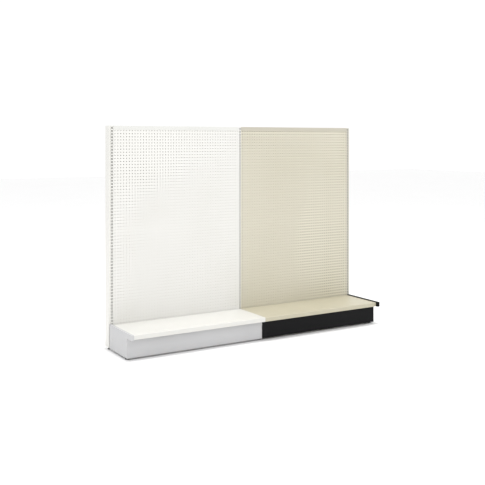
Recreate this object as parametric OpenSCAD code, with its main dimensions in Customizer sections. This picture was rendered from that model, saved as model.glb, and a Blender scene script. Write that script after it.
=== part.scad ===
// Two-bay, single-sided gondola shelving unit: slotted uprights, pegboard backs on rails,
// lift-off base decks, pull-off kickplates and end trims, standing on levelling feet.
// X runs along the unit, -Y faces the shopper, Z is up from the floor.
// The origin is on the floor, at the middle of the unit's length and depth.

/* [Unit] */
// Distance between upright centres, one bay
bay_pitch = 1219.2; // [900:0.1:1500]
// Height of the whole unit
unit_h = 1828.8; // [1200:0.1:2200]
// Gap under the kickplates and end trims
kick_gap = 12.7; // [8:0.1:30]

/* [Uprights] */
// Width of the tube
upright_w = 50.8; // [40:0.1:70]
// Depth of the tube from the slotted face to the back
upright_d = 82.5; // [60:0.1:120]
// Wall of the tube
upright_wall = 1.9; // [1.5:0.1:2.5]
// Width of the slotted strip that stands between the panels
strip_w = 19; // [17:0.1:24]
// Height of the tube's lower end above the floor
upright_low = 20; // [16:0.1:30]
// Thickness of the plastic end cap
cap_t = 2; // [1:0.1:4]
// Clearance of the cap's plug in the tube
cap_gap = 0.3; // [0.1:0.1:0.6]

/* [Slots] */
// Distance between slots up the strip
slot_pitch = 25.4; // [20:0.1:50.8]
// Width of a slot
slot_w = 5; // [4.4:0.1:5.4]
// Height of a slot
slot_h = 17; // [14:0.1:18]
// Distance between the centres of the two columns
column_gap = 8.8; // [8.4:0.1:9.2]
// Top of the tube to the centre of the highest slot
slot_drop = 16; // [14:0.1:25]
// Lowest height at which a slot may be centred
slot_floor = 48; // [40:1:60]

/* [Back] */
// Thickness of the pegboard
panel_t = 6.35; // [5:0.05:8]
// Height of the pegboard's lower edge
panel_low = 100; // [60:1:140]
// Gap between the pegboard and the slotted strip
panel_gap = 1; // [0.5:0.1:2]
// Height of a back rail's web
rail_h = 50; // [36:1:70]
// Depth of a back rail's flanges
rail_d = 40; // [30:1:50]
// Height of the top rail's lip down the front of the pegboard
cap_lip = 31.8; // [20:0.1:40]
// Distance between the two screws at a rail's end
rail_screw_gap = 16; // [14:0.1:20]
// Radius of a rail screw's shank
rail_screw_r = 2.5; // [2:0.1:3]

/* [Base] */
// Slotted face to the front of the deck's lip
deck_reach = 420; // [330:1:620]
// Height of the deck's top
deck_top = 203.9; // [190:0.1:260]
// Height of the deck's front lip
lip_h = 36.3; // [30:0.1:45]
// Height of the deck's other flanges
deck_flange = 25; // [20:0.1:30]
// Front of the kickplate back from the front of the lip
kick_setback = 58; // [40:1:90]
// Clearance between the kickplate's top and the lip
kick_clear = 3.6; // [2:0.1:6]
// Depth of the kickplate's returns
kick_return = 15; // [10:1:20]
// Thickness of the deck, kickplate and trim sheet
sheet = 1.2; // [0.8:0.1:1.6]
// Radius outside the sheet's bends
bend_r = 3; // [2:0.1:4]
// Gap between the two decks and between the two kickplates
seam = 2; // [1:0.1:3]
// Thickness of a base bracket's two webs
web_t = 3; // [2.5:0.1:3.2]
// Width of the flange that carries the decks
carry_w = 30; // [24:1:36]

/* [End trims] */
// Upright centre to the outside of an end trim
trim_side = 21.6; // [19:0.1:25]
// Height of an end trim's top above the deck
trim_over = 6.9; // [3:0.1:12]
// Distance that the trim's nose stands in front of the lip
nose_out = 26; // [15:1:40]
// Gap between the deck's end and the trim
trim_gap = 1.8; // [1:0.1:3]

/* [Feet] */
// Radius of a foot's pad
pad_r = 19; // [15:0.5:25]
// Height of a foot's pad
pad_h = 7; // [5:0.5:9]
// Radius of the levelling stud
stud_r = 5; // [4:0.5:6]
// Length of the levelling stud
stud_l = 55; // [45:1:70]
// Radial clearance of the stud in its nut
thread_gap = 0.08; // [0.02:0.01:0.1]

/* [Hidden] */

left = -1;
middle = 0;
right = 1;
white = [0.93, 0.93, 0.91];
almond = [0.84, 0.81, 0.72];
grey = [0.74, 0.74, 0.75];
black = [0.12, 0.12, 0.13];
zinc = [0.66, 0.67, 0.69];
plastic = [0.2, 0.2, 0.21];
brown = [0.44, 0.33, 0.24];

// Depths, measured back from the slotted face, which is also the pegboard's face
kick_reach = deck_reach - kick_setback;
nose_reach = deck_reach + nose_out;
face_y = (nose_reach - upright_d) / 2;

// Heights
tube_top = unit_h - cap_t;
lip_low = deck_top - lip_h;
kick_top = lip_low - kick_clear;
trim_top = deck_top + trim_over;
carry_top = deck_top - deck_flange;

// Slots, counted from the top down
slot_rows = floor((tube_top - slot_drop - slot_floor) / slot_pitch) + 1;
function slot_z(row) = tube_top - slot_drop - row * slot_pitch;

// Rails: the pegboard stands on the bottom rail's ledge and its top edge is inside the top rail
ledge_t = 2;
rail_t = 1.5;
panel_top = unit_h - rail_t;
rail_l = bay_pitch - upright_w - 0.4;
panel_l = bay_pitch - strip_w - 2 * panel_gap;
bottom_rail_z = panel_low + rail_h / 2 - ledge_t;
rear_sheet_t = 3;
rear_sheet_gap = 1;
centre_rail_z = (panel_low + panel_top) / 2;
top_rail_z = unit_h - rail_h / 2;
rail_zs = [bottom_rail_z, centre_rail_z, top_rail_z];
rail_screw_y = panel_t + rail_d / 2;
screw_slack = 0.1;
// A thread-forming screw opens its pilot hole by this much; the end uprights' outer walls wait with pilots
thread_bite = 0.3;
rail_pilot_r = rail_screw_r - thread_bite;
screw_head_h = 3.5;
screw_head_r = 4.6;
screw_l = 12;

// Base brackets: two webs, one behind each slot column, hooked through the slots
bracket_reach = kick_reach - sheet - kick_return - 2;
hook_t = 3;
hook_h = 7;
hook_drop = 5;
hook_gap = 0.3;
hook_rows = [for (step = [1 : 2 : 5]) slot_rows - step];
foot_plate_t = 6;
foot_plate_l = 60;
foot_plate_w = 2 * (trim_side - sheet - 1);
front_foot_y = -(bracket_reach - foot_plate_l / 2);
rear_foot_y = (panel_t + upright_d) / 2;
window_l = 26;
window_h = 40;
nut_flat = 17;
nut_h = 8;
collar_flat = 17;
collar_h = 5;
stud_hole_r = stud_r + thread_gap;

// End trims: outer face, inner face and the lugs that the screws go into
trim_outer = bay_pitch + trim_side;
trim_inner = bay_pitch - seam / 2 + trim_gap;
trim_front = kick_reach - bend_r - 0.3;
nose_r = 5;
lug_r = 6;
trim_screw_r = 2.1;
trim_head_r = 4.2;
trim_head_h = 2;
lug_z = (upright_low + carry_top) / 2;
lug_ys = [-60, -(bracket_reach - foot_plate_l - 20)];

// Kickplate clips
clip_t = 0.9;
clip_gap = 0.35;
clip_h = 30;
clip_grip = 12;
clip_z = (kick_gap + kick_top) / 2 + 20;

// Deck stiffeners
hat_h = 16;
hat_w = 36;
hat_brim = 10;
hat_ys = [-deck_reach * 0.36, -deck_reach * 0.66];

curve_steps = 5;
function bend(centre, r, from, to) =
  [for (i = [0 : curve_steps])
    let (a = from + (to - from) * i / curve_steps) centre + r * [cos(a), sin(a)]];
function reversed(list) = [for (i = [len(list) - 1 : -1 : 0]) list[i]];

// Places a part in the unit, with its own zero at an upright's slotted face
module at_upright(place) {
  translate([place * bay_pitch, face_y, 0])
    children();
}

// Stands a [depth, height] outline up and pushes it along X
module along_x(x0, x1) {
  translate([x0, 0, 0])
    rotate([90, 0, 90])
      linear_extrude(height = x1 - x0)
        children();
}

module box(low, high) {
  translate(low)
    cube(high - low);
}

module hexagon(flat, h) {
  cylinder(r = flat / sqrt(3), h = h, $fn = 6);
}

// Outline of the upright, drawn in from its surface by inset
module upright_outline(inset) {
  union() {
    translate([-strip_w / 2 + inset, inset])
      square([strip_w - 2 * inset, upright_d - 2 * inset]);
    translate([-upright_w / 2 + inset, panel_t + inset])
      square([upright_w - 2 * inset, upright_d - panel_t - 2 * inset]);
  }
}

module upright(place) {
  at_upright(place)
    difference() {
      union() {
        translate([0, 0, upright_low])
          linear_extrude(height = tube_top - upright_low)
            difference() {
              upright_outline(0);
              upright_outline(upright_wall);
            }
        translate([0, 0, upright_low])
          linear_extrude(height = foot_plate_t)
            upright_outline(upright_wall / 2);
      }
      for (side = [-1, 1], row = [0 : slot_rows - 1])
        translate([side * column_gap / 2, upright_wall / 2, slot_z(row)])
          cube([slot_w, 2 * upright_wall, slot_h], center = true);
      for (side = [-1, 1], z = rail_zs, step = [-1, 1])
        translate([side * upright_w / 2, rail_screw_y, z + step * rail_screw_gap / 2])
          rotate([0, 90, 0])
            cylinder(r = side * place == 1 ? rail_pilot_r : rail_screw_r + screw_slack,
                     h = 4 * upright_wall, center = true, $fn = 32);
      translate([0, rear_foot_y, upright_low - 1])
        cylinder(r = stud_hole_r, h = foot_plate_t + 2, $fn = 48);
    }
}

module upright_cap(place) {
  at_upright(place)
    translate([0, 0, tube_top]) {
      linear_extrude(height = cap_t)
        upright_outline(0);
      translate([0, 0, -cap_t])
        linear_extrude(height = 2 * cap_t)
          upright_outline(upright_wall + cap_gap);
    }
}

// The pegboard's face is level with the slotted strips
module back_panel(side) {
  at_upright(0)
    box([side * bay_pitch / 2 - panel_l / 2, 0, panel_low],
        [side * bay_pitch / 2 + panel_l / 2, panel_t, panel_top]);
}

// A plain hardboard sheet closes the rear, against the rails' open sides
module rear_sheet(side) {
  rear_y = panel_t + rail_d;
  at_bay(side)
    box([rear_sheet_gap - rail_l / 2, rear_y, panel_low],
        [rail_l / 2 - rear_sheet_gap, rear_y + rear_sheet_t, panel_top]);
}

// Flat ears that lie against the uprights, drilled for two screws each
module rail_ears(z) {
  for (end = [-1, 1])
    difference() {
      translate([end * (rail_l - rail_t) / 2, panel_t + rail_d / 2, z])
        cube([rail_t, rail_d, rail_h], center = true);
      for (step = [-1, 1])
        translate([end * rail_l / 2, rail_screw_y, z + step * rail_screw_gap / 2])
          rotate([0, 90, 0])
            cylinder(r = rail_screw_r + screw_slack, h = 4 * rail_t, center = true, $fn = 32);
    }
}

// A channel whose web backs the pegboard
module channel(z) {
  along_x(-rail_l / 2, rail_l / 2)
    translate([panel_t, z - rail_h / 2])
      difference() {
        square([rail_d, rail_h]);
        translate([rail_t, rail_t])
          square([rail_d, rail_h - 2 * rail_t]);
      }
  rail_ears(z);
}

module at_bay(side) {
  translate([side * bay_pitch / 2, face_y, 0])
    children();
}

module bottom_rail(side) {
  at_bay(side) {
    channel(bottom_rail_z);
    box([-rail_l / 2, 0, panel_low - ledge_t],
        [rail_l / 2, panel_t + rail_t, panel_low]);
  }
}

module centre_rail(side) {
  at_bay(side)
    channel(centre_rail_z);
}

// Caps the pegboard: a lip in front, a top plate and a web behind
module top_rail(side) {
  at_bay(side) {
    channel(top_rail_z);
    box([-panel_l / 2, -rail_t, unit_h - cap_lip],
        [panel_l / 2, 0, unit_h]);
    box([-panel_l / 2, -rail_t, unit_h - rail_t],
        [panel_l / 2, panel_t, unit_h]);
    box([-rail_l / 2, -rail_t, unit_h - rail_t],
        [rail_l / 2, panel_t + rail_t, unit_h]);
  }
}

module rail_screws() {
  for (side = [left, right], end = [-1, 1], z = rail_zs, step = [-1, 1])
    at_bay(side)
      translate([end * (rail_l / 2 - rail_t), rail_screw_y, z + step * rail_screw_gap / 2])
        rotate([0, end * 90, 0]) {
          cylinder(r = rail_screw_r, h = screw_l, $fn = 32);
          translate([0, 0, -screw_head_h])
            hexagon(screw_head_r * sqrt(3), screw_head_h);
        }
}

module base_bracket(place) {
  at_upright(place)
    difference() {
      union() {
        for (side = [-1, 1])
          translate([side * column_gap / 2, 0, 0])
            bracket_web();
        box([-carry_w / 2, -bracket_reach, carry_top - web_t],
            [carry_w / 2, -web_t, carry_top]);
        box([-foot_plate_w / 2, -bracket_reach, upright_low],
            [foot_plate_w / 2, foot_plate_l - bracket_reach, upright_low + foot_plate_t]);
        if (place != middle)
          for (y = lug_ys)
            translate([place * column_gap / 2, y, lug_z])
              rotate([0, place * 90, 0])
                cylinder(r = lug_r, h = trim_side - sheet - column_gap / 2, $fn = 32);
      }
      translate([0, front_foot_y, upright_low - 1])
        cylinder(r = stud_hole_r, h = foot_plate_t + 2, $fn = 48);
      if (place != middle)
        for (y = lug_ys)
          translate([place * (column_gap / 2 + web_t), y, lug_z])
            rotate([0, place * 90, 0])
              cylinder(r = trim_screw_r + screw_slack, h = trim_side, $fn = 32);
    }
}

// One web, with a window round the foot's nut and hooks that drop behind the slotted wall
module bracket_web() {
  difference() {
    box([-web_t / 2, -bracket_reach, upright_low],
        [web_t / 2, 0, carry_top]);
    box([-web_t, front_foot_y - window_l / 2, upright_low + foot_plate_t],
        [web_t, front_foot_y + window_l / 2, upright_low + foot_plate_t + window_h]);
  }
  for (row = hook_rows) {
    slot_low = slot_z(row) - slot_h / 2;
    box([-web_t / 2, -1, slot_low],
        [web_t / 2, upright_wall + hook_gap + hook_t, slot_low + hook_h]);
    box([-web_t / 2, upright_wall + hook_gap, slot_low - hook_drop],
        [web_t / 2, upright_wall + hook_gap + hook_t, slot_low + hook_h]);
  }
}

// Depth and height outline of the deck: back flange, top, front lip and its return
module deck_outline() {
  front = -deck_reach;
  back = -seam;
  outside = concat(
    [[back, carry_top], [back, deck_top]],
    bend([front + bend_r, deck_top - bend_r], bend_r, 90, 180),
    bend([front + bend_r, lip_low + bend_r], bend_r, 180, 270),
    [[front + kick_return, lip_low]]
  );
  inside = concat(
    [[back - sheet, carry_top], [back - sheet, deck_top - sheet]],
    bend([front + bend_r, deck_top - bend_r], bend_r - sheet, 90, 180),
    bend([front + bend_r, lip_low + bend_r], bend_r - sheet, 180, 270),
    [[front + kick_return, lip_low + sheet]]
  );
  polygon(concat(outside, reversed(inside)));
}

module deck(side) {
  x0 = -bay_pitch / 2 + seam / 2;
  x1 = bay_pitch / 2 - seam / 2;
  at_bay(side) {
    along_x(x0, x1)
      deck_outline();
    for (end = [0, 1]) {
      flange_x = end == 0 ? x0 : x1 - sheet;
      return_x = end == 0 ? x0 : x1 - carry_w / 2 + seam;
      box([flange_x, -deck_reach + sheet, carry_top],
          [flange_x + sheet, -seam - sheet / 2, deck_top - sheet / 2]);
      box([return_x, -deck_reach + kick_return, carry_top],
          [return_x + carry_w / 2 - seam, -seam - sheet / 2, carry_top + sheet]);
    }
  }
}

// Two hat channels spot-welded under the deck
module deck_stiffeners(side) {
  hat_l = bay_pitch - seam - carry_w;
  at_bay(side)
    for (y = hat_ys)
      along_x(-hat_l / 2, hat_l / 2)
        translate([y, deck_top - sheet])
          polygon([
            [-hat_w / 2 - hat_brim, 0], [-hat_w / 2 - hat_brim, -sheet],
            [-hat_w / 2, -sheet], [-hat_w / 2, -hat_h],
            [hat_w / 2, -hat_h], [hat_w / 2, -sheet],
            [hat_w / 2 + hat_brim, -sheet], [hat_w / 2 + hat_brim, 0],
            [hat_w / 2 - sheet, 0], [hat_w / 2 - sheet, sheet - hat_h],
            [sheet - hat_w / 2, sheet - hat_h], [sheet - hat_w / 2, 0]
          ]);
}

// Depth and height outline of the kickplate: a shallow channel, open to the back
module kick_outline() {
  front = -kick_reach;
  outside = concat(
    [[front + kick_return, kick_top]],
    bend([front + bend_r, kick_top - bend_r], bend_r, 90, 180),
    bend([front + bend_r, kick_gap + bend_r], bend_r, 180, 270),
    [[front + kick_return, kick_gap]]
  );
  inside = concat(
    [[front + kick_return, kick_top - sheet]],
    bend([front + bend_r, kick_top - bend_r], bend_r - sheet, 90, 180),
    bend([front + bend_r, kick_gap + bend_r], bend_r - sheet, 180, 270),
    [[front + kick_return, kick_gap + sheet]]
  );
  polygon(concat(outside, reversed(inside)));
}

// The face runs on past the returns to cover the end trim's front edge
module kickplate(side) {
  joint = side * seam / 2;
  turned = side * (trim_outer - sheet - 1);
  outer = side * trim_outer;
  translate([0, face_y, 0]) {
    along_x(min(joint, turned), max(joint, turned))
      kick_outline();
    box([min(joint, outer), -kick_reach, kick_gap + bend_r],
        [max(joint, outer), sheet - kick_reach, kick_top - bend_r]);
    along_x(min(turned, outer) - 0.01, max(turned, outer))
      intersection() {
        kick_outline();
        translate([-kick_reach, kick_gap])
          square([bend_r, kick_top - kick_gap]);
      }
  }
}

// Spring clips behind the kickplate, each gripping one web of a base bracket
module kick_clips(side) {
  leaf_in = web_t / 2 + clip_gap;
  plate_y = sheet - kick_reach;
  leaf_end = clip_grip - bracket_reach;
  for (end = [-1, 1])
    at_bay(side)
      translate([end * (bay_pitch - column_gap) / 2, 0, clip_z - clip_h / 2]) {
        for (leaf = [-1, 1])
          translate([leaf * (leaf_in + clip_t / 2) - clip_t / 2, plate_y, 0])
            cube([clip_t, leaf_end - plate_y, clip_h]);
        box([end > 0 ? -3 * leaf_in : -leaf_in - clip_t, plate_y, 0],
            [end > 0 ? leaf_in + clip_t : 3 * leaf_in, plate_y + clip_t, clip_h]);
      }
}

// Depth and height outline of the trim's nose, drawn in by inset, from the front to depth back
module nose_outline(inset, back) {
  front = -nose_reach;
  r = nose_r - inset;
  polygon(concat(
    [[back, lip_low + inset], [back, trim_top - inset]],
    bend([front + nose_r, trim_top - nose_r], r, 90, 180),
    bend([front + nose_r, lip_low + nose_r], r, 180, 270)
  ));
}

module end_trim(side) {
  outer = side * trim_outer;
  inner = side * trim_inner;
  skin = side * (trim_outer - sheet);
  translate([0, face_y, 0])
    difference() {
      union() {
        along_x(min(outer, skin), max(outer, skin)) {
          nose_outline(0, -1);
          translate([-trim_front, kick_gap])
            square([trim_front - 1, trim_top - kick_gap - nose_r]);
        }
        difference() {
          along_x(min(outer, inner), max(outer, inner))
            nose_outline(0, -trim_front);
          along_x(min(skin, inner + side * sheet), max(skin, inner + side * sheet))
            nose_outline(sheet, sheet - trim_front);
        }
        box([min(outer, inner), -trim_front - sheet, trim_top - sheet],
            [max(outer, inner), -1, trim_top]);
        box([min(inner, inner + side * sheet), -trim_front - sheet, deck_top - 4 * sheet],
            [max(inner, inner + side * sheet), -1, trim_top]);
      }
      for (y = lug_ys)
        translate([outer, y, lug_z])
          rotate([0, 90, 0])
            cylinder(r = trim_screw_r + screw_slack, h = 4 * sheet, center = true, $fn = 32);
    }
}

module trim_screws() {
  for (side = [left, right], y = lug_ys)
    translate([side * trim_outer, face_y + y, lug_z])
      rotate([0, side * 90, 0]) {
        translate([0, 0, -screw_l])
          cylinder(r = trim_screw_r, h = screw_l, $fn = 32);
        cylinder(r1 = trim_head_r, r2 = trim_head_r - trim_head_h / 2, h = trim_head_h, $fn = 32);
      }
}

// Nuts welded on top of the foot plates
module foot_nuts() {
  for (place = [left, middle, right], y = [rear_foot_y, front_foot_y])
    at_upright(place)
      translate([0, y, upright_low + foot_plate_t])
        difference() {
          hexagon(nut_flat, nut_h);
          translate([0, 0, -1])
            cylinder(r = stud_hole_r, h = nut_h + 2, $fn = 48);
        }
}

module foot_stud(place, y) {
  at_upright(place)
    translate([0, y, pad_h]) {
      cylinder(r = stud_r, h = stud_l, $fn = 48);
      hexagon(collar_flat, collar_h);
    }
}

module foot_pad(place, y) {
  at_upright(place)
    translate([0, y, 0]) {
      cylinder(r = pad_r, h = pad_h / 2, $fn = 64);
      translate([0, 0, pad_h / 2])
        cylinder(r1 = pad_r, r2 = pad_r * 0.6, h = pad_h / 2, $fn = 64);
    }
}

color(white) upright(left);  // upright_left
color(white) upright(middle);  // upright_middle
color(almond) upright(right);  // upright_right
color(white) upright_cap(left);  // upright_cap_left
color(white) upright_cap(middle);  // upright_cap_middle
color(almond) upright_cap(right);  // upright_cap_right
color(zinc) base_bracket(left);  // base_bracket_left
color(zinc) base_bracket(middle);  // base_bracket_middle
color(zinc) base_bracket(right);  // base_bracket_right
color(white) back_panel(left);  // back_panel_left
color(almond) back_panel(right);  // back_panel_right
color(white) rear_sheet(left);  // rear_sheet_left
color(brown) rear_sheet(right);  // rear_sheet_right
color(white) top_rail(left);  // top_rail_left
color(almond) top_rail(right);  // top_rail_right
color(white) centre_rail(left);  // centre_rail_left
color(almond) centre_rail(right);  // centre_rail_right
color(white) bottom_rail(left);  // bottom_rail_left
color(almond) bottom_rail(right);  // bottom_rail_right
color(zinc) rail_screws();
color(white) deck(left);  // deck_left
color(almond) deck(right);  // deck_right
color(white) deck_stiffeners(left);  // deck_stiffeners_left
color(almond) deck_stiffeners(right);  // deck_stiffeners_right
color(grey) kickplate(left);  // kickplate_left
color(black) kickplate(right);  // kickplate_right
color(zinc) kick_clips(left);  // kick_clips_left
color(zinc) kick_clips(right);  // kick_clips_right
color(grey) end_trim(left);  // end_trim_left
color(black) end_trim(right);  // end_trim_right
color(zinc) trim_screws();
color(zinc) foot_nuts();
color(zinc) foot_stud(left, rear_foot_y);  // foot_stud_rear_left
color(zinc) foot_stud(middle, rear_foot_y);  // foot_stud_rear_middle
color(zinc) foot_stud(right, rear_foot_y);  // foot_stud_rear_right
color(zinc) foot_stud(left, front_foot_y);  // foot_stud_front_left
color(zinc) foot_stud(middle, front_foot_y);  // foot_stud_front_middle
color(zinc) foot_stud(right, front_foot_y);  // foot_stud_front_right
color(plastic) foot_pad(left, rear_foot_y);  // foot_pad_rear_left
color(plastic) foot_pad(middle, rear_foot_y);  // foot_pad_rear_middle
color(plastic) foot_pad(right, rear_foot_y);  // foot_pad_rear_right
color(plastic) foot_pad(left, front_foot_y);  // foot_pad_front_left
color(plastic) foot_pad(middle, front_foot_y);  // foot_pad_front_middle
color(plastic) foot_pad(right, front_foot_y);  // foot_pad_front_right
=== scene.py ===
import math

import bmesh
import bpy
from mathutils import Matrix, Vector


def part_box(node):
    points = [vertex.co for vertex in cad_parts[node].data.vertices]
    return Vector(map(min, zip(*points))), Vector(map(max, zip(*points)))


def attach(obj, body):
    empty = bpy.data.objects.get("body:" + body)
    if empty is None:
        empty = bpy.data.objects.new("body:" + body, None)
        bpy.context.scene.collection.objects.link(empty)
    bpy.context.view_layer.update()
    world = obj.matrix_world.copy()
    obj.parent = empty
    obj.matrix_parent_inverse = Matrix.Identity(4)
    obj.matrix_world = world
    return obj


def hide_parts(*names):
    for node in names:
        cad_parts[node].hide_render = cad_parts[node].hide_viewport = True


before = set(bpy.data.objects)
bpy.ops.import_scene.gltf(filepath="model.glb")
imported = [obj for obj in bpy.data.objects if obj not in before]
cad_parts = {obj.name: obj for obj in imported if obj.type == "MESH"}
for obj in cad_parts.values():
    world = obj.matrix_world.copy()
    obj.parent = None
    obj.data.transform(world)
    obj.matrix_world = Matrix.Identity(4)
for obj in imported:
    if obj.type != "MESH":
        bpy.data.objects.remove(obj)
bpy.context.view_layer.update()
print("frame loaded:", len(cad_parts), "nodes")

sides = ("left", "right")
places = ("left", "middle", "right")
footRows = ("rear", "front")


class Wire:
    # one socket of a node tree: sums and products on it add Math nodes, node() adds any other
    def __init__(self, tree, socket=None):
        self.tree = tree
        self.socket = socket

    def node(self, kind, settings=None, values=None, out=0):
        made = self.tree.nodes.new(kind)
        for name, value in (settings or {}).items():
            setattr(made, name, value)
        for name, value in (values or {}).items():
            for item in value if isinstance(value, list) else [value]:
                if isinstance(item, Wire):
                    self.tree.links.new(item.socket, made.inputs[name])
                else:
                    made.inputs[name].default_value = item
        return Wire(self.tree, made.outputs[out] if made.outputs else None)

    def maths(self, operation, *values):
        return self.node("ShaderNodeMath", {"operation": operation}, dict(enumerate(values)))

    def root(self):
        return self.maths("SQRT", self)

    def wrapped(self, length):
        return self.maths("FLOORED_MODULO", self, length)

    def part(self, axis):
        return self.node("ShaderNodeSeparateXYZ", {}, {"Vector": self}, axis)

    def between(self, low, high):
        # 0 below low, 1 above high, smooth in between
        return self.node(
            "ShaderNodeMapRange",
            {"interpolation_type": "SMOOTHSTEP"},
            {"Value": self, "From Min": low, "From Max": high},
        )

    def __add__(self, other):
        return self.maths("ADD", self, other)

    __radd__ = __add__

    def __sub__(self, other):
        return self.maths("SUBTRACT", self, other)

    def __rsub__(self, other):
        return self.maths("SUBTRACT", other, self)

    def __mul__(self, other):
        return self.maths("MULTIPLY", self, other)

    __rmul__ = __mul__

    def __truediv__(self, other):
        return self.maths("DIVIDE", self, other)

    def __abs__(self):
        return self.maths("ABSOLUTE", self)


def tone(red, green, blue):
    # written as the colour looks, from 0 to 1, and returned linear
    return tuple(((c + 0.055) / 1.055) ** 2.4 if c > 0.04 else c / 12.92 for c in (red, green, blue)) + (1.0,)


def seen(red, green, blue):
    # the paint that comes out as this colour, from 0 to 255, once the studio lights it
    lit = tone(red / 255, green / 255, blue / 255)[:3]
    return tuple(max((c - studio["gloss"]) / studio["light"], 0.004) for c in lit) + (1.0,)


def blendTones(factor, first, second):
    return factor.node("ShaderNodeMix", {"data_type": "RGBA"}, {0: factor, 6: first, 7: second}, 2)


def noise(spot, scale, detail=2.0, roughness=0.5):
    return spot.node(
        "ShaderNodeTexNoise", {}, {"Vector": spot, "Scale": scale, "Detail": detail, "Roughness": roughness}
    )


def stretched(spot, scale):
    return spot.node("ShaderNodeMapping", {}, {"Vector": spot, "Scale": scale})


def newMaterial(name):
    material = bpy.data.materials.new(name)
    material.use_nodes = True
    material.node_tree.nodes.clear()
    start = Wire(material.node_tree)
    return material, start.node("ShaderNodeTexCoord", out="Object")


def surface(spot, height, values):
    # height is in metres
    bump = spot.node("ShaderNodeBump", {}, {"Strength": 1.0, "Distance": 1.0, "Height": height})
    shader = spot.node("ShaderNodeBsdfPrincipled", {}, {"Normal": bump, **values})
    spot.node("ShaderNodeOutputMaterial", {}, {"Surface": shader})


studio = {
    "place": (-3.7073, -5.9628, 1.7073),
    "turn": 31.275,
    "lens": 59.575,
    "rise": -0.2102,
    "sky": 1.03,
    "floorSize": 60.0,
    "floorCloud": 0.8,
    "floorGrain": 40.0,
    "floorGrainHeight": 0.0001,
    "floorRoughness": 0.85,
    "light": 1.17,     # what a white front sends back, and what its gloss adds
    "gloss": 0.03,
    "lamps": {
        # name: place, aim, size, watts
        "key": ((-6.0, -7.0, 5.5), (0.0, 0.0, 0.8), 4.0, 80.0),
        "fill": ((6.5, -6.0, 3.0), (0.0, 0.0, 0.8), 4.0, 30.0),
        "top": ((0.0, -0.5, 8.0), (0.0, -0.5, 0.0), 2.4, 330.0),
    },
}


def aimed(place, target):
    return (Vector(target) - Vector(place)).to_track_quat("-Z", "Y").to_euler()


def makeCamera():
    data = bpy.data.cameras.new("camera")
    data.lens = studio["lens"]
    data.shift_y = studio["rise"]
    camera = bpy.data.objects.new("camera", data)
    camera.location = studio["place"]
    camera.rotation_euler = (math.radians(90), 0.0, -math.radians(studio["turn"]))
    bpy.context.scene.collection.objects.link(camera)
    bpy.context.scene.camera = camera


def makeLights():
    world = bpy.data.worlds.new("studio")
    world.use_nodes = True
    background = world.node_tree.nodes["Background"]
    background.inputs["Color"].default_value = (1.0, 1.0, 1.0, 1.0)
    background.inputs["Strength"].default_value = studio["sky"]
    bpy.context.scene.world = world
    for name, (place, target, size, watts) in studio["lamps"].items():
        lamp = bpy.data.lights.new(name, "AREA")
        lamp.size = size
        lamp.energy = watts
        lampObject = bpy.data.objects.new(name, lamp)
        lampObject.location = place
        lampObject.rotation_euler = aimed(place, target)
        bpy.context.scene.collection.objects.link(lampObject)


def makeFloor():
    half = studio["floorSize"] / 2
    mesh = bpy.data.meshes.new("studio_floor")
    corners = [(-half, -half, 0), (half, -half, 0), (half, half, 0), (-half, half, 0)]
    mesh.from_pydata(corners, [], [(0, 1, 2, 3)])
    floor = bpy.data.objects.new("studio_floor", mesh)
    bpy.context.scene.collection.objects.link(floor)
    material, spot = newMaterial("pale_floor")
    cloud = noise(spot, studio["floorCloud"])
    surface(
        spot,
        noise(spot, studio["floorGrain"]) * studio["floorGrainHeight"],
        {
            "Base Color": blendTones(cloud, tone(0.97, 0.97, 0.97), tone(0.98, 0.98, 0.98)),
            "Roughness": studio["floorRoughness"],
        },
    )
    mesh.materials.append(material)


bpy.context.scene.view_settings.view_transform = "Standard"
makeCamera()
makeLights()
makeFloor()
print("studio ready")


deckLow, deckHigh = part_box("deck_right")
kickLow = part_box("kickplate_right")[0]
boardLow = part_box("back_panel_right")[0]

paints = {
    # name: colour, its darker drift, roughness, mirror strength
    "white": (seen(243, 242, 237), seen(240, 239, 234), 0.38, 0.5),
    "railWhite": (seen(235, 235, 231), seen(232, 232, 228), 0.38, 0.5),
    "deckWhite": (seen(231, 230, 225), seen(228, 227, 222), 0.38, 0.5),
    "almond": (seen(219, 217, 207), seen(216, 213, 202), 0.38, 0.5),
    "railAlmond": (seen(204, 199, 185), seen(200, 195, 180), 0.38, 0.5),
    "deckAlmond": (seen(204, 198, 177), seen(200, 194, 172), 0.38, 0.5),
    "grey": (seen(206, 206, 207), seen(203, 203, 204), 0.42, 0.5),
    "black": (tone(0.08, 0.08, 0.086), tone(0.066, 0.066, 0.072), 0.4, 0.1),
}

driftRange = (0.35, 0.7)

powder = {
    "drift": 2.4,          # how fast the shade changes, per metre
    "peel": 420.0,         # orange peel, per metre
    "peelHeight": 0.000022,
    "grain": 2600.0,
    "grainHeight": 0.000003,
    "grainRough": 0.04,
    "handled": 18.0,
    "handledRough": 0.05,
}


def powderCoat(name, paint, wearAndShade=None):
    # the marks function gets the spot and returns (mask, colour of the mark, change of roughness); its marks
    # are wear, a painted highlight on the deck's front edge and painted shade inside the tube
    colour, shade, roughness, mirror = paints[paint]
    material, spot = newMaterial(name)
    drift = noise(spot, powder["drift"], 3.0).between(*driftRange)
    peel = noise(spot, powder["peel"], 1.0)
    grain = noise(spot, powder["grain"], 1.0)
    base = blendTones(drift, colour, shade)
    handled = noise(spot, powder["handled"], 4.0)
    rough = roughness + powder["handledRough"] * handled + powder["grainRough"] * (grain - 0.5)
    height = peel * powder["peelHeight"] + grain * powder["grainHeight"]
    if wearAndShade:
        mask, markTone, roughChange, dent = wearAndShade(spot, paint)
        base = blendTones(mask, base, markTone)
        rough = rough + mask * roughChange
        height = height - mask * dent
    surface(spot, height, {"Base Color": base, "Roughness": rough, "Specular IOR Level": mirror})
    return material


tube = {
    "wall": 0.0019,
    "strip": 0.0095,       # half the slotted strip's width
    "step": 0.00635,       # how far the strip stands in front of the tube
    "coated": 0.0014,      # how far into a wall the coat still counts
    "fade": (0.0005, 0.0011),
}


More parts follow.
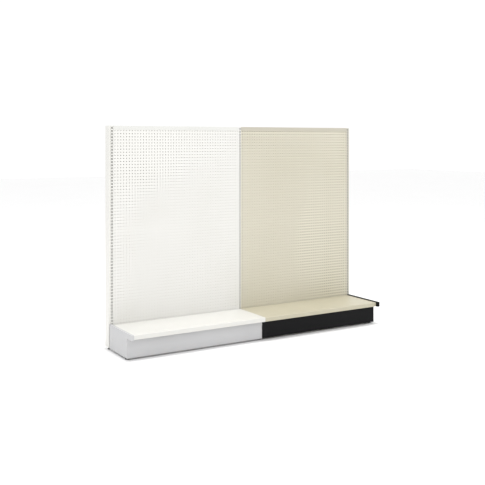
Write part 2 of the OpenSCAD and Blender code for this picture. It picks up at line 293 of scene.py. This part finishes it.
def tubeInsideShade(spot, paint):
    # darker inside the tube: painted shade that makes the slots look dark, partly the bare steel where the
    # coat hardly reaches
    low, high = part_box("upright_right")
    middle = (low.x + high.x) / 2
    half = high.x - middle
    wall = tube["wall"]
    coated = tube["coated"]
    across = abs(spot.part("X") - middle)
    deep = spot.part("Y") - low.y
    inStrip = 1 - across.between(tube["strip"] - wall, tube["strip"] - coated)
    behind = deep.between(tube["step"] + coated, tube["step"] + wall)
    clear = 1 - across.between(half - wall, half - coated)
    rear = 1 - spot.part("Y").between(high.y - wall, high.y - coated)
    mask = clear * rear * deep.between(*tube["fade"]) * inStrip.maths("MAXIMUM", inStrip, behind)
    # this dark tone is painted shade inside the tube, partly bare steel
    return mask, seen(74, 70, 62), 0.2, 0.0


foldBand = (0.001, 0.006)      # how far from a folded edge the band starts to fade, and where it ends; on the deck's front edge the band is wear and painted highlight


def lineDistance(spot, y, z):
    # distance from a line that runs along X
    across = spot.part("Y") - y
    up = spot.part("Z") - z
    return (across * across + up * up).root()


deckRubAndSheen = {
    "patches": 9.0,        # per metre
    "patchRange": (0.45, 0.7),
    "marks": 4.0,
    "markStretch": (60.0, 2.5, 4.0),
    "markRange": (0.66, 0.72),
    "edgeRubAndSheenShare": 0.5,
    "markShare": 0.12,
    "roughness": -0.1,
    "depth": 0.000004,
    "deckWhite": seen(246, 246, 243),
    "deckAlmond": seen(222, 217, 199),
}


def deckWearAndSheen(spot, paint):
    # lighter front edge, rubbed paint with a painted highlight along the bend, and a few faint marks where
    # goods are slid in
    look = deckRubAndSheen
    # the front edge's lighter band is partly a painted highlight on the rounded bend
    edge = 1 - lineDistance(spot, deckLow.y, deckHigh.z).between(*foldBand)
    patches = noise(spot, look["patches"], 4.0).between(*look["patchRange"])
    marks = noise(stretched(spot, look["markStretch"]), look["marks"], 3.0).between(*look["markRange"])
    mask = edge * patches * look["edgeRubAndSheenShare"] + marks * look["markShare"]
    return mask, look[paint], look["roughness"], look["depth"]


kickScuffs = {
    "height": 0.09,
    "smears": 2.2,
    "smearStretch": (5.0, 5.0, 34.0),
    "smearRange": (0.54, 0.72),
    "smearShare": 0.3,
    "nicks": 3.0,
    "nickStretch": (30.0, 30.0, 90.0),
    "nickRange": (0.7, 0.74),
    "nickShare": 0.35,
    "bendShare": 0.3,
    "roughness": 0.18,
    "depth": 0.000008,
    "grey": seen(190, 189, 186),
    "black": tone(0.16, 0.158, 0.152),
}


def kickWear(spot, paint):
    # scuffs from brooms and shoes, thickest low down
    look = kickScuffs
    low = 1 - spot.part("Z").between(kickLow.z, kickLow.z + look["height"])
    smears = noise(stretched(spot, look["smearStretch"]), look["smears"], 5.0, 0.6)
    smears = smears.between(*look["smearRange"])
    nicks = noise(stretched(spot, look["nickStretch"]), look["nicks"], 2.0).between(*look["nickRange"])
    bend = 1 - lineDistance(spot, kickLow.y, kickLow.z).between(*foldBand)
    mask = smears * low * look["smearShare"] + nicks * low * look["nickShare"] + bend * look["bendShare"]
    return mask, look[paint], look["roughness"], look["depth"]


boardLook = {
    "weave": 1250.0,            # screen print on the back, radians per metre of the mesh
    "weaveHeight": 0.00006,
    "rim": (0.00064, 0.0016),   # dark swollen ring round a hole, painted shade round the hole with bare board at its drilled edge; where it starts to fade and its edge
    "rimHeight": 0.00005,
    # how much of the ring's painted shade is mixed in
    "rimShade": 0.95,
    "paintEdge": 0.0003,        # how sharply the paint ends, and how ragged its end is
    "ragged": 900.0,
    "drift": 1.7,
    "fibres": 700.0,
    "fibreStretch": (1.0, 6.0, 1.0),
    "roller": 300.0,
    "rollerHeight": 0.00003,
    "roughness": 0.42,
    "bareRough": 0.4,
    "handled": 22.0,
    "handledRough": 0.06,
}

boardPaints = {
    # name: colour, its darker drift, ring round a hole (painted shade round the almond holes), how far back
    # the paint reaches
    "white": (seen(243, 242, 238), seen(240, 239, 234), seen(240, 239, 234), 0.007),
    "almond": (seen(229, 224, 206), seen(225, 220, 201), seen(58, 48, 35), 0.0002),
}

rawBoard = (tone(0.36, 0.27, 0.19), tone(0.27, 0.195, 0.135))


def paintedBoard(name, paint, firstHole):
    # painted from the front as far back as the paint reaches, bare brown hardboard from there on, with a ring
    # of painted shade round each hole
    look = boardLook
    colour, shade, ringShade, paintDepth = boardPaints[paint]
    material, spot = newMaterial(name)
    depth = spot.part("Y") - boardLow.y
    edge = look["paintEdge"]
    bare = (depth + (noise(spot, look["ragged"]) - 0.5) * edge).between(paintDepth, paintDepth + edge)
    pitch = pegboard["pitch"]
    across = (spot.part("X") - firstHole.x + pitch / 2).wrapped(pitch) - pitch / 2
    up = (spot.part("Z") - firstHole.z + pitch / 2).wrapped(pitch) - pitch / 2
    reach = (across * across + up * up).root() - pegboard["holeRadius"]
    rim = 1 - reach.between(*look["rim"])
    drift = noise(spot, look["drift"], 3.0).between(*driftRange)
    # the dark ring round each hole is painted shade, partly bare board at the rim
    paintedTone = blendTones(rim * look["rimShade"], blendTones(drift, colour, shade), ringShade)
    fibres = noise(stretched(spot, look["fibreStretch"]), look["fibres"], 4.0, 0.7)
    bareTone = blendTones(fibres, *rawBoard)
    weave = spot.maths("SINE", spot.part("X") * look["weave"])
    weft = spot.maths("SINE", spot.part("Z") * look["weave"])
    roller = noise(spot, look["roller"], 2.0) * look["rollerHeight"]
    height = roller + rim * look["rimHeight"] + bare * weave * weft * look["weaveHeight"]
    handled = noise(spot, look["handled"], 3.0) * look["handledRough"]
    surface(
        spot,
        height,
        {
            "Base Color": blendTones(bare, paintedTone, bareTone),
            "Roughness": look["roughness"] + bare * look["bareRough"] + handled,
        },
    )
    return material


sheetLook = {
    "fibres": 160.0,
    "fibreStretch": (1.0, 1.0, 2.5),
    "fibreShare": 0.7,
    "fibreHeight": 0.00002,
    "chips": 75.0,
    "chipRange": (0.66, 0.72),
    "chipShare": 0.35,
    "cloud": 3.0,
    "cloudRange": (0.3, 0.7),
    "cloudShare": 0.12,
    "cloudRough": 0.1,
}


def plainBoard(name, colour, shade, roughness):
    # smooth side of a hardboard sheet: pressed fibres, a few darker chips
    look = sheetLook
    material, spot = newMaterial(name)
    fibres = noise(stretched(spot, look["fibreStretch"]), look["fibres"], 4.0, 0.7)
    chips = noise(spot, look["chips"], 2.0).between(*look["chipRange"])
    cloud = noise(spot, look["cloud"], 3.0).between(*look["cloudRange"])
    pressed = blendTones(fibres * look["fibreShare"] + cloud * look["cloudShare"], colour, shade)
    surface(
        spot,
        fibres * look["fibreHeight"],
        {
            "Base Color": blendTones(chips * look["chipShare"], pressed, shade),
            "Roughness": roughness + look["cloudRough"] * cloud,
        },
    )
    return material


zincLook = {
    "cloudRange": (0.3, 0.7),
    "cloudHeight": 0.000006,
    "cloudRough": 0.12,
    "rolled": 60.0,
    "rolledStretch": (1.0, 14.0, 14.0),
    "rolledHeight": 0.00001,
    "stain": 11.0,
    "stainRange": (0.58, 0.75),
    "stainTone": tone(0.62, 0.60, 0.55),
    "stainShare": 0.4,
    "stainRough": 0.1,
    "stainDulls": 0.25,
}


def zincPlate(name, colour, shade, roughness, spangle):
    # plated steel: cloudy, with a fine rolled grain along the length
    look = zincLook
    material, spot = newMaterial(name)
    cloud = noise(spot, spangle, 4.0, 0.6).between(*look["cloudRange"])
    rolled = noise(stretched(spot, look["rolledStretch"]), look["rolled"], 3.0)
    stain = noise(spot, look["stain"], 5.0, 0.65).between(*look["stainRange"])
    surface(
        spot,
        rolled * look["rolledHeight"] + cloud * look["cloudHeight"],
        {
            "Base Color": blendTones(
                stain * look["stainShare"], blendTones(cloud, colour, shade), look["stainTone"]
            ),
            "Roughness": roughness + look["cloudRough"] * cloud + look["stainRough"] * stain,
            "Metallic": 1 - stain * look["stainDulls"],
        },
    )
    return material


mouldedLook = {"cloud": 30.0, "grain": 1500.0, "grainHeight": 0.00002, "grainRough": 0.12}


def mouldedPlastic(name, colour, shade, roughness):
    look = mouldedLook
    material, spot = newMaterial(name)
    cloud = noise(spot, look["cloud"], 3.0)
    grain = noise(spot, look["grain"], 2.0)
    surface(
        spot,
        grain * look["grainHeight"],
        {"Base Color": blendTones(cloud, colour, shade), "Roughness": roughness + grain * look["grainRough"]},
    )
    return material


finishes = {
    "upright_white": powderCoat("upright_white", "white"),
    "upright_almond": powderCoat("upright_almond", "almond", tubeInsideShade),
    "rail_white": powderCoat("rail_white", "railWhite"),
    "rail_almond": powderCoat("rail_almond", "railAlmond"),
    "deck_white": powderCoat("deck_white", "deckWhite", deckWearAndSheen),
    "deck_almond": powderCoat("deck_almond", "deckAlmond", deckWearAndSheen),
    "kick_grey": powderCoat("kick_grey", "grey", kickWear),
    "kick_black": powderCoat("kick_black", "black", kickWear),
    "cap_white": mouldedPlastic("cap_white", seen(240, 239, 234), seen(236, 235, 230), 0.45),
    "cap_almond": mouldedPlastic("cap_almond", seen(212, 208, 194), seen(207, 203, 188), 0.45),
    "sheet_white": plainBoard("sheet_white", seen(240, 239, 234), seen(234, 232, 226), 0.5),
    # brown sheet behind the almond board: a dark sheet standing in for the shade behind its holes
    "sheet_brown": plainBoard("sheet_brown", *rawBoard, 0.55),
    "bracket_zinc": zincPlate("bracket_zinc", tone(0.74, 0.75, 0.76), tone(0.62, 0.63, 0.645), 0.38, 55.0),
    "fastener_zinc": zincPlate("fastener_zinc", tone(0.80, 0.79, 0.75), tone(0.68, 0.67, 0.62), 0.3, 160.0),
    "spring_steel": zincPlate("spring_steel", tone(0.52, 0.55, 0.60), tone(0.40, 0.43, 0.50), 0.34, 90.0),
    "pad_plastic": mouldedPlastic("pad_plastic", tone(0.17, 0.17, 0.175), tone(0.13, 0.13, 0.135), 0.5),
}

nodeFinishes = {
    # start of the node's name: finish for the pale bay, finish for the rest
    "upright_cap": ("cap_white", "cap_almond"),
    "upright": ("upright_white", "upright_almond"),
    "base_bracket": ("bracket_zinc", "bracket_zinc"),
    "top_rail": ("rail_white", "rail_almond"),
    "centre_rail": ("upright_white", "upright_almond"),
    "bottom_rail": ("upright_white", "upright_almond"),
    # the rear sheets show only through the holes: the brown one darkens the almond board's holes as painted
    # shade, the white one keeps the pale board's holes faint
    "rear_sheet": ("sheet_white", "sheet_brown"),
    "deck": ("deck_white", "deck_almond"),
    "kickplate": ("kick_grey", "kick_black"),
    "kick_clips": ("spring_steel", "spring_steel"),
    "end_trim": ("kick_grey", "kick_black"),
}

for name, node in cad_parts.items():
    for start, (leftFinish, otherFinish) in nodeFinishes.items():
        if name.startswith(start):
            # the shared upright belongs to the pale bay
            pale = name.endswith("left") or (name.startswith("upright") and name.endswith("middle"))
            chosen = leftFinish if pale else otherFinish
            for slot in node.material_slots:
                slot.material = finishes[chosen]
            break
print("finishes ready:", len(finishes))


socketKinds = {
    int: "NodeSocketInt",
    float: "NodeSocketFloat",
    tuple: "NodeSocketVector",
    bpy.types.Material: "NodeSocketMaterial",
    bpy.types.Object: "NodeSocketObject",
}


class ShapeTree:
    # a Geometry Nodes tree with one named input for each size
    def __init__(self, name, sizes):
        self.tree = bpy.data.node_groups.new(name, "GeometryNodeTree")
        face = self.tree.interface
        face.new_socket("Geometry", in_out="OUTPUT", socket_type="NodeSocketGeometry")
        face.new_socket("Geometry", in_out="INPUT", socket_type="NodeSocketGeometry")
        for label, value in sizes.items():
            face.new_socket(label, in_out="INPUT", socket_type=socketKinds[type(value)])
        self.group = self.tree.nodes.new("NodeGroupInput")
        self.start = Wire(self.tree)

    def size(self, label):
        return Wire(self.tree, self.group.outputs[label])

    def close(self, shape):
        solid = shape.node("GeometryNodeRealizeInstances", {}, {"Geometry": shape})
        painted = shape.node(
            "GeometryNodeSetMaterial", {}, {"Geometry": solid, "Material": self.size("Material")}
        )
        output = self.tree.nodes.new("NodeGroupOutput")
        self.tree.links.new(painted.socket, output.inputs["Geometry"])


def grow(name, shapeTree, sizes, points=(), aims=()):
    # runs the tree and keeps its result as one plain mesh
    mesh = bpy.data.meshes.new(name)
    mesh.from_pydata(points, [], [])
    if aims:
        aimLayer = mesh.attributes.new("aim", "FLOAT_VECTOR", "POINT")
        for place, aim in zip(aimLayer.data, aims):
            place.vector = aim
    piece = bpy.data.objects.new(name, mesh)
    bpy.context.scene.collection.objects.link(piece)
    modifier = piece.modifiers.new("shape", "NODES")
    modifier.node_group = shapeTree.tree
    for item in shapeTree.tree.interface.items_tree:
        if item.in_out == "INPUT" and item.name in sizes:
            modifier[item.identifier] = sizes[item.name]
    evaluated = piece.evaluated_get(bpy.context.evaluated_depsgraph_get())
    plain = bpy.data.meshes.new_from_object(evaluated)
    piece.modifiers.clear()
    piece.data = plain
    plain.name = name
    return piece


trees = {}


def sharedTree(maker, sizes):
    # a tree is built once, and every piece it grows gives it its own sizes
    if maker not in trees:
        trees[maker] = maker(sizes)
    return trees[maker]


mergeDistance = 0.00001


def merged(shape):
    return shape.node("GeometryNodeMergeByDistance", {}, {"Geometry": shape, "Distance": mergeDistance})


def settle(piece, body, slotName, *replaced):
    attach(piece, body)
    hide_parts(*replaced)


pegboard = {
    "pitch": 0.0254,
    "holeRadius": 0.004,
    "holeSides": 12,
    "margin": 0.0125,      # least distance from the board's edge to a hole's middle
}


def pegboardTree(sizes):
    # one square tile with its hole, repeated and then given its thickness
    shape = ShapeTree("pegboard", sizes)
    start = shape.start
    pitch = shape.size("Pitch")
    columns = shape.size("Columns")
    rows = shape.size("Rows")
    hole = start.node(
        "GeometryNodeCurvePrimitiveCircle",
        {"mode": "RADIUS"},
        {"Resolution": shape.size("Hole Sides"), "Radius": shape.size("Hole Radius")},
    )
    square = start.node(
        "GeometryNodeCurvePrimitiveQuadrilateral", {"mode": "RECTANGLE"}, {"Width": pitch, "Height": pitch}
    )
    outline = start.node("GeometryNodeJoinGeometry", {}, {"Geometry": [square, hole]})
    tile = start.node("GeometryNodeFillCurve", {}, {"Curve": outline})
    grid = start.node(
        "GeometryNodeMeshGrid",
        {},
        {
            "Size X": (columns - 1) * pitch,
            "Size Y": (rows - 1) * pitch,
            "Vertices X": columns,
            "Vertices Y": rows,
        },
    )
    tiles = start.node("GeometryNodeInstanceOnPoints", {}, {"Points": grid, "Instance": tile})
    sheet = merged(start.node("GeometryNodeRealizeInstances", {}, {"Geometry": tiles}))
    for axis, count, label in (("X", columns, "Width"), ("Y", rows, "Height")):
        # the outermost vertices move out to the board's own edge
        place = start.node("GeometryNodeInputPosition")
        along = place.part(axis)
        offset = along.maths("SIGN", along) * (shape.size(label) - count * pitch) / 2
        onEdge = abs(along).maths("GREATER_THAN", abs(along), (count - 0.5) * pitch / 2)
        shift = start.node("ShaderNodeCombineXYZ", {}, {axis: offset})
        sheet = start.node(
            "GeometryNodeSetPosition", {}, {"Geometry": sheet, "Selection": onEdge, "Offset": shift}
        )
    front = start.node(
        "GeometryNodeExtrudeMesh",
        {"mode": "FACES"},
        {"Mesh": sheet, "Offset Scale": shape.size("Thickness"), "Individual": False},
    )
    back = start.node("GeometryNodeFlipFaces", {}, {"Mesh": sheet})
    solid = merged(start.node("GeometryNodeJoinGeometry", {}, {"Geometry": [front, back]}))
    stood = start.node(
        "GeometryNodeTransform",
        {},
        {"Geometry": solid, "Translation": shape.size("Place"), "Rotation": (math.radians(90), 0.0, 0.0)},
    )
    shape.close(stood)
    return shape


def makePegboards():
    # perforated hardboard backs
    for side, paint in zip(sides, ("white", "almond")):
        low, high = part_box("back_panel_" + side)
        size = high - low
        columns = math.floor((size.x - 2 * pegboard["margin"]) / pegboard["pitch"]) + 1
        rows = math.floor((size.z - 2 * pegboard["margin"]) / pegboard["pitch"]) + 1
        middle = (low + high) / 2
        firstHole = middle - Vector((columns - 1, 0, rows - 1)) * pegboard["pitch"] / 2
        finish = paintedBoard("board_" + paint, paint, firstHole)
        sizes = {
            "Width": size.x,
            "Height": size.z,
            "Thickness": size.y,
            "Pitch": pegboard["pitch"],
            "Hole Radius": pegboard["holeRadius"],
            "Hole Sides": pegboard["holeSides"],
            "Columns": columns,
            "Rows": rows,
            "Place": (middle.x, high.y, middle.z),
            "Material": finish,
        }
        board = grow("pegboard_" + side, sharedTree(pegboardTree, sizes), sizes)
        settle(board, "frame", "board_" + paint, "back_panel_" + side)
        print("pegboard", side, columns, "x", rows, "holes,", len(board.data.polygons), "faces")


makePegboards()


def ringed(name, rings, sides, bored=False):
    # a solid from rings of (radius, height), listed up the outside; either may depend on the angle
    shape = bmesh.new()
    rows = []
    for radius, height in rings:
        row = []
        for step in range(sides):
            angle = 2 * math.pi * step / sides
            r = radius(angle) if callable(radius) else radius
            z = height(angle) if callable(height) else height
            row.append(shape.verts.new((r * math.cos(angle), r * math.sin(angle), z)))
        rows.append(row)
    for low, high in zip(rows, rows[1:] + rows[:1] if bored else rows[1:]):
        for step in range(sides):
            after = (step + 1) % sides
            shape.faces.new((low[step], low[after], high[after], high[step]))
    if not bored:
        shape.faces.new(rows[0][::-1])
        shape.faces.new(rows[-1])
    mesh = bpy.data.meshes.new(name)
    shape.to_mesh(mesh)
    shape.free()
    template = bpy.data.objects.new(name, mesh)
    bpy.context.scene.collection.objects.link(template)
    return template


hexInset = 0.49        # where a hexagon's chamfer starts, as a share of its width across flats


def hexRadius(flat):
    # distance from the axis to a hexagon's side, with a corner at angle 0
    return lambda angle: flat / 2 / math.cos(angle % math.radians(60) - math.radians(30))


def hexChamfer(flat, start, slope):
    # height at which a cone cuts the hexagon's corners off
    edge = hexRadius(flat)
    return lambda angle: start + slope * max(edge(angle) - flat * hexInset, 0.0)


def threadRings(low, high, crest, depth, pitch):
    turns = round((high - low) / pitch)
    step = (high - low) / turns
    rings = []
    for turn in range(turns):
        z = low + turn * step
        rings += [(crest - depth, z + step * 0.1), (crest, z + step * 0.45), (crest, z + step * 0.6)]
    return rings


def copiesTree(sizes):
    # one template set on every point, its Z along the point's aim
    shape = ShapeTree("copies", sizes)
    start = shape.start
    template = start.node("GeometryNodeObjectInfo", {}, {"Object": shape.size("Template")}, "Geometry")
    aim = start.node("GeometryNodeInputNamedAttribute", {"data_type": "FLOAT_VECTOR"}, {"Name": "aim"})
    turn = start.node("FunctionNodeAlignRotationToVector", {"axis": "Z"}, {"Vector": aim})
    points = Wire(shape.tree, shape.group.outputs["Geometry"])
    copies = start.node(
        "GeometryNodeInstanceOnPoints", {}, {"Points": points, "Instance": template, "Rotation": turn}
    )
    shape.close(copies)
    return shape


def placeCopies(name, template, finish, points, aims):
    sizes = {"Template": template, "Material": finishes[finish]}
    return grow(name, sharedTree(copiesTree, sizes), sizes, points, aims)


screws = {
    "flange": 0.0046,
    "flangeHeight": 0.0008,
    "flat": 0.007,
    "head": 0.0035,
    "crest": 0.0025,
    "depth": 0.0005,
    "pitch": 0.0008,
    "length": 0.012,
    "reach": 0.5825,       # from the bay's middle to the inner face of a rail's ear
    "gap": 0.016,
    "setBack": 0.02635,    # behind the uprights' front
    "railMiddles": (0.123, 0.96365, 1.8038),
    "chamfer": 0.6,
    "sides": 24,
}


def makeRailScrews():
    # hex washer heads inside the rails' ears, their shanks in the uprights
    size = screws
    flat = size["flat"]
    rings = [
        (flat * 0.36, 0.0003 - size["head"]),
        (flat * 0.4, -size["head"]),
        (flat * hexInset, -size["head"]),
        (hexRadius(flat), hexChamfer(flat, -size["head"], size["chamfer"])),
        (hexRadius(flat), -size["flangeHeight"] * 1.2),
        (size["flange"] * 0.96, -size["flangeHeight"]),
        (size["flange"], -size["flangeHeight"] * 0.6),
        (size["flange"], 0.0),
        (size["crest"], 0.0),
        *threadRings(0.0003, size["length"] * 0.88, size["crest"], size["depth"], size["pitch"]),
        (size["crest"] * 0.55, size["length"]),
    ]
    template = ringed("screw_template", rings, size["sides"])
    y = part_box("upright_middle")[0].y + size["setBack"]
    points = []
    aims = []
    for side in sides:
        low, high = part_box("back_panel_" + side)
        centre = (low.x + high.x) / 2
        for middle in size["railMiddles"]:
            for end in (-1, 1):
                for step in (-0.5, 0.5):
                    points.append((centre + end * size["reach"], y, middle + step * size["gap"]))
                    aims.append((end, 0, 0))
    piece = placeCopies("hex_screws", template, "fastener_zinc", points, aims)
    settle(piece, "frame", "zinc_fastener", "rail_screws")
    return template


trimScrews = {
    "radius": 0.0042,
    "height": 0.0019,
    "recess": 0.0011,
    "shank": 0.0021,
    "depth": 0.0004,
    "length": 0.012,
    "pitch": 0.0009,
    "places": (0.12175, -0.08205),
    "up": 0.09945,
    "roundness": 0.9,
    "cross": 0.7,          # the wider the cross's arms, the smaller
    "sides": 32,
}


def makeTrimScrews():
    # pan heads with a cross recess on the outer faces of the end trims
    size = trimScrews

    def dome(radius):
        return size["height"] * math.sqrt(1 - size["roundness"] * (radius / size["radius"]) ** 2)

    def crossed(radius):
        return lambda angle: dome(radius) - (size["recess"] if math.cos(4 * angle) > size["cross"] else 0.0)

    rings = [
        (size["shank"] * 0.4, -size["length"]),
        *threadRings(-size["length"] * 0.85, -0.0002, size["shank"], size["depth"], size["pitch"]),
        (size["shank"], 0.0),
        (size["radius"], 0.0),
        *[(size["radius"] * part, dome(size["radius"] * part)) for part in (1.0, 0.96, 0.86, 0.72, 0.58)],
        *[(size["radius"] * part, crossed(size["radius"] * part)) for part in (0.55, 0.4, 0.26)],
        (size["radius"] * 0.2, dome(0.0) - size["recess"]),
        (size["radius"] * 0.05, dome(0.0) - size["recess"] * 1.2),
    ]
    template = ringed("trim_screw_template", rings, size["sides"])
    points = []
    aims = []
    for outward, side in zip((-1, 1), sides):
        low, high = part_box("end_trim_" + side)
        face = high.x if outward > 0 else low.x
        for y in size["places"]:
            points.append((face, y, size["up"]))
            aims.append((outward, 0, 0))
    piece = placeCopies("trim_screw_heads", template, "fastener_zinc", points, aims)
    settle(piece, "frame", "zinc_fastener", "trim_screws")
    return template


feet = {
    "pad": 0.019,
    "padHeight": 0.007,
    "flat": 0.017,
    "collar": 0.005,
    "nut": 0.008,
    "bore": 0.00508,
    "boreBevel": 0.0007,
    "nutUp": 0.026,
    "chamfer": 0.55,
    "nutSides": 48,
    "crest": 0.005,
    "depth": 0.00085,
    "pitch": 0.0015,
    "top": 0.062,
    "sunk": 0.002,         # how far inside the collar the thread starts
    "threadSides": 32,
    "rib": 0.0009,         # how far the pad's rim stands below its middle
    "padEdge": 0.0004,
    "padSides": 64,
}


def footPlaces():
    for row in footRows:
        for place in places:
            low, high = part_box("foot_pad_" + row + "_" + place)
            yield row + "_" + place, ((low + high) / 2).xy


def chamferedSides(flat, height):
    # both ends of a nut's or collar's flats, with their corners cut off
    cut = hexChamfer(flat, 0.0, feet["chamfer"])
    return [(hexRadius(flat), cut), (hexRadius(flat), lambda angle: height - cut(angle))]


def makeNuts():
    size = feet
    flat = size["flat"]
    bore = size["bore"]
    bevel = size["boreBevel"]
    rings = [
        (bore, bevel),
        (bore + bevel, 0.0),
        (flat * hexInset, 0.0),
        *chamferedSides(flat, size["nut"]),
        (flat * hexInset, size["nut"]),
        (bore + bevel, size["nut"]),
        (bore, size["nut"] - bevel),
    ]
    template = ringed("nut_template", rings, size["nutSides"], bored=True)
    points = [(*spot, size["nutUp"]) for name, spot in footPlaces()]
    piece = placeCopies("weld_nuts", template, "fastener_zinc", points, [(0, 0, 1)] * len(points))
    settle(piece, "frame", "zinc_fastener", "foot_nuts")
    return template


def studTree(sizes):
    # a helical thread from a sheet rolled round the axis, with a collar under it
    shape = ShapeTree("levelling_stud", sizes)
    start = shape.start
    pitch = shape.size("Pitch")
    length = shape.size("Length")
    crest = shape.size("Crest")
    root = crest - shape.size("Depth")
    around = shape.size("Sides")
    rows = shape.size("Rows")
    sheet = start.node(
        "GeometryNodeMeshGrid",
        {},
        {"Size X": 1.0, "Size Y": rows - 1, "Vertices X": around + 1, "Vertices Y": rows},
    )
    spot = start.node("GeometryNodeInputPosition")
    turn = spot.part("X") + 0.5
    row = (spot.part("Y") + (rows - 1) / 2) / 4
    height = ((row + turn - 1) * pitch).node(
        "ShaderNodeClamp", {}, {"Value": (row + turn - 1) * pitch, "Min": 0.0, "Max": length}
    )
    ramp = abs(1 - 2 * row.wrapped(1.0))
    fade = (height / pitch).maths("MINIMUM", height / pitch, (length - height) / pitch)
    fade = fade.node("ShaderNodeClamp", {}, {"Value": fade})
    radius = root + shape.size("Depth") * ramp * fade
    angle = turn * (2 * math.pi)
    rolled = start.node(
        "ShaderNodeCombineXYZ",
        {},
        {
            "X": radius * angle.maths("COSINE", angle),
            "Y": radius * angle.maths("SINE", angle),
            "Z": height,
        },
    )
    thread = start.node("GeometryNodeSetPosition", {}, {"Geometry": sheet, "Position": rolled})
    cap = start.node("GeometryNodeMeshCircle", {"fill_type": "NGON"}, {"Vertices": around, "Radius": root})
    top = start.node(
        "GeometryNodeTransform",
        {},
        {"Geometry": cap, "Translation": start.node("ShaderNodeCombineXYZ", {}, {"Z": length})},
    )
    bottom = start.node("GeometryNodeFlipFaces", {}, {"Mesh": cap})
    closed = merged(start.node("GeometryNodeJoinGeometry", {}, {"Geometry": [thread, top, bottom]}))
    raised = start.node(
        "GeometryNodeTransform", {}, {"Geometry": closed, "Translation": shape.size("Thread Start")}
    )
    collar = start.node("GeometryNodeObjectInfo", {}, {"Object": shape.size("Collar")}, "Geometry")
    both = start.node("GeometryNodeJoinGeometry", {}, {"Geometry": [raised, collar]})
    placed = start.node("GeometryNodeTransform", {}, {"Geometry": both, "Translation": shape.size("Place")})
    shape.close(placed)
    return shape


def makeFeet():
    size = feet
    flat = size["flat"]
    pad = size["pad"]
    tall = size["padHeight"]
    collarTop = size["collar"]
    collarRings = [
        (flat * 0.3, 0.0),
        (flat * hexInset, 0.0),
        *chamferedSides(flat, collarTop),
        (flat * hexInset, collarTop),
        (flat * 0.32, collarTop),
    ]
    padRings = [
        (pad * 0.75, size["rib"]),
        (pad * 0.87, size["rib"]),
        (pad * 0.9, 0.0),
        (pad * 0.985, 0.0),
        (pad, size["padEdge"]),
        (pad, tall * 0.42),
        (pad * 0.98, tall * 0.5),
        (pad * 0.86, tall * 0.6),
        (pad * 0.66, tall * 0.86),
        (pad * 0.6, tall * 0.96),
        (pad * 0.56, tall),
        (pad * 0.5, tall),
    ]
    collar = ringed("collar_template", collarRings, size["nutSides"])
    padTemplate = ringed("pad_template", padRings, size["padSides"])
    threadStart = collarTop - size["sunk"]
    length = size["top"] - tall - threadStart
    for name, spot in footPlaces():
        sizes = {
            "Collar": collar,
            "Sides": size["threadSides"],
            "Rows": 4 * (math.ceil(length / size["pitch"]) + 1) + 1,
            "Pitch": size["pitch"],
            "Length": length,
            "Crest": size["crest"],
            "Depth": size["depth"],
            "Thread Start": (0.0, 0.0, threadStart),
            "Place": (spot.x, spot.y, tall),
            "Material": finishes["fastener_zinc"],
        }
        stud = grow("levelling_stud_" + name, sharedTree(studTree, sizes), sizes)
        settle(stud, "foot_stud_" + name, "zinc_fastener", "foot_stud_" + name)
        piece = placeCopies("levelling_pad_" + name, padTemplate, "pad_plastic", [(*spot, 0.0)], [(0, 0, 1)])
        settle(piece, "foot_pad_" + name, "foot_plastic", "foot_pad_" + name)
    return collar, padTemplate


welds = {
    "bead": 0.0016,
    "step": 0.0017,
    "stitch": 0.024,
    "stitches": (-0.14, -0.03, 0.08),
    "webFace": 0.0059,     # the webs' outer faces, from the upright's middle
    "under": 0.003,        # below the carrying plate's top
    "footPlate": 0.006,    # above the foot plates' underside
    "footStarts": (0.001, 0.052),
    "footBeads": 4,
    "lean": (0.0, 0.5, 0.87),
    "sides": 8,
}


def makeWelds():
    # stitches of overlapping beads under the carrying plates and at the foot plates' ends
    size = welds
    radius = size["bead"]
    rings = [
        (radius * 0.45, -radius * 0.85),
        (radius * 0.9, -radius * 0.4),
        (radius * 0.9, radius * 0.4),
        (radius * 0.45, radius * 0.85),
    ]
    bead = ringed("bead_template", rings, size["sides"])
    stitchBeads = round(size["stitch"] / size["step"])
    points = []
    for place in places:
        low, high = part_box("base_bracket_" + place)
        uprightLow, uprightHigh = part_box("upright_" + place)
        middle = (uprightLow.x + uprightHigh.x) / 2
        under = high.z - size["under"]
        footPlate = low.z + size["footPlate"]
        for side in (-1, 1):
            x = middle + side * size["webFace"]
            for start in size["stitches"]:
                points += [(x, start + step * size["step"], under) for step in range(stitchBeads)]
            for start in size["footStarts"]:
                y = low.y + start
                points += [(x, y + step * size["step"], footPlate) for step in range(size["footBeads"])]
    piece = placeCopies("bracket_welds", bead, "bracket_zinc", points, [size["lean"]] * len(points))
    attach(piece, "frame")
    return bead


templates = [makeRailScrews(), makeTrimScrews(), makeNuts(), *makeFeet(), makeWelds()]
for template in templates:
    bpy.data.objects.remove(template)
print("fasteners, feet and welds ready")
